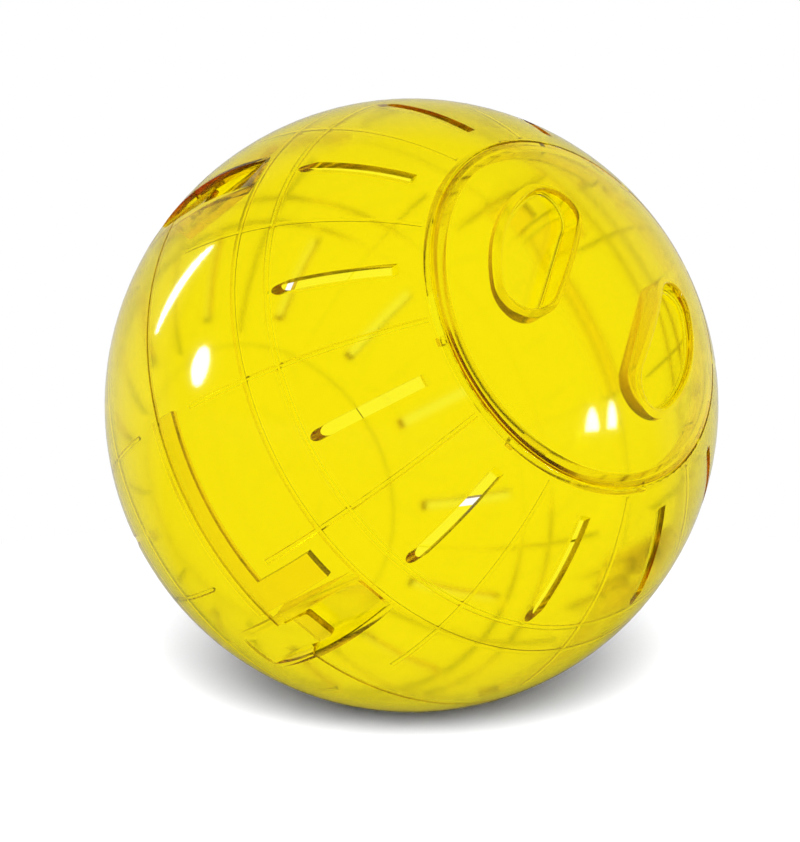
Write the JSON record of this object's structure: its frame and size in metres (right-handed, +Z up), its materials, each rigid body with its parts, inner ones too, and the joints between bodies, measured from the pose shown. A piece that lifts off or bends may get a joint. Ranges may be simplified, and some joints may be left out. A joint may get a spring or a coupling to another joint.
{
  "type": "hamster exercise ball",
  "caption": "Transparent hollow ball that a small pet runs in: two vented half shells that pull apart at a seam, with a twist-off round door in the front one.",
  "frame": {"origin": "centre of the ball", "axes": "+Z up from the floor that the ball lies on; the door faces -Y and 26 degrees upwards; X is level"},
  "size_m": [0.18, 0.18, 0.18],
  "materials": {
    "shell": "moulded transparent yellow polystyrene, glossy",
    "door": "moulded transparent yellow polystyrene, glossy"
  },
  "bodies": {
    "back_half": {"back_half_shell": "shell"},
    "front_half": {"front_half_shell": "shell"},
    "front_door": {"front_door": "door"}
  },
  "joints": [
    {"name": "halves_pull_apart", "type": "slide", "parent": "back_half", "child": "front_half", "axis": [0, -0.8988, 0.4384], "range_m": [0, 0.08]},
    {"name": "front_door_twist", "type": "hinge", "parent": "front_half", "child": "front_door", "pos_m": [0, 0, 0], "axis": [0, -0.8988, 0.4384], "range_deg": [0, 38.5]}
  ]
}
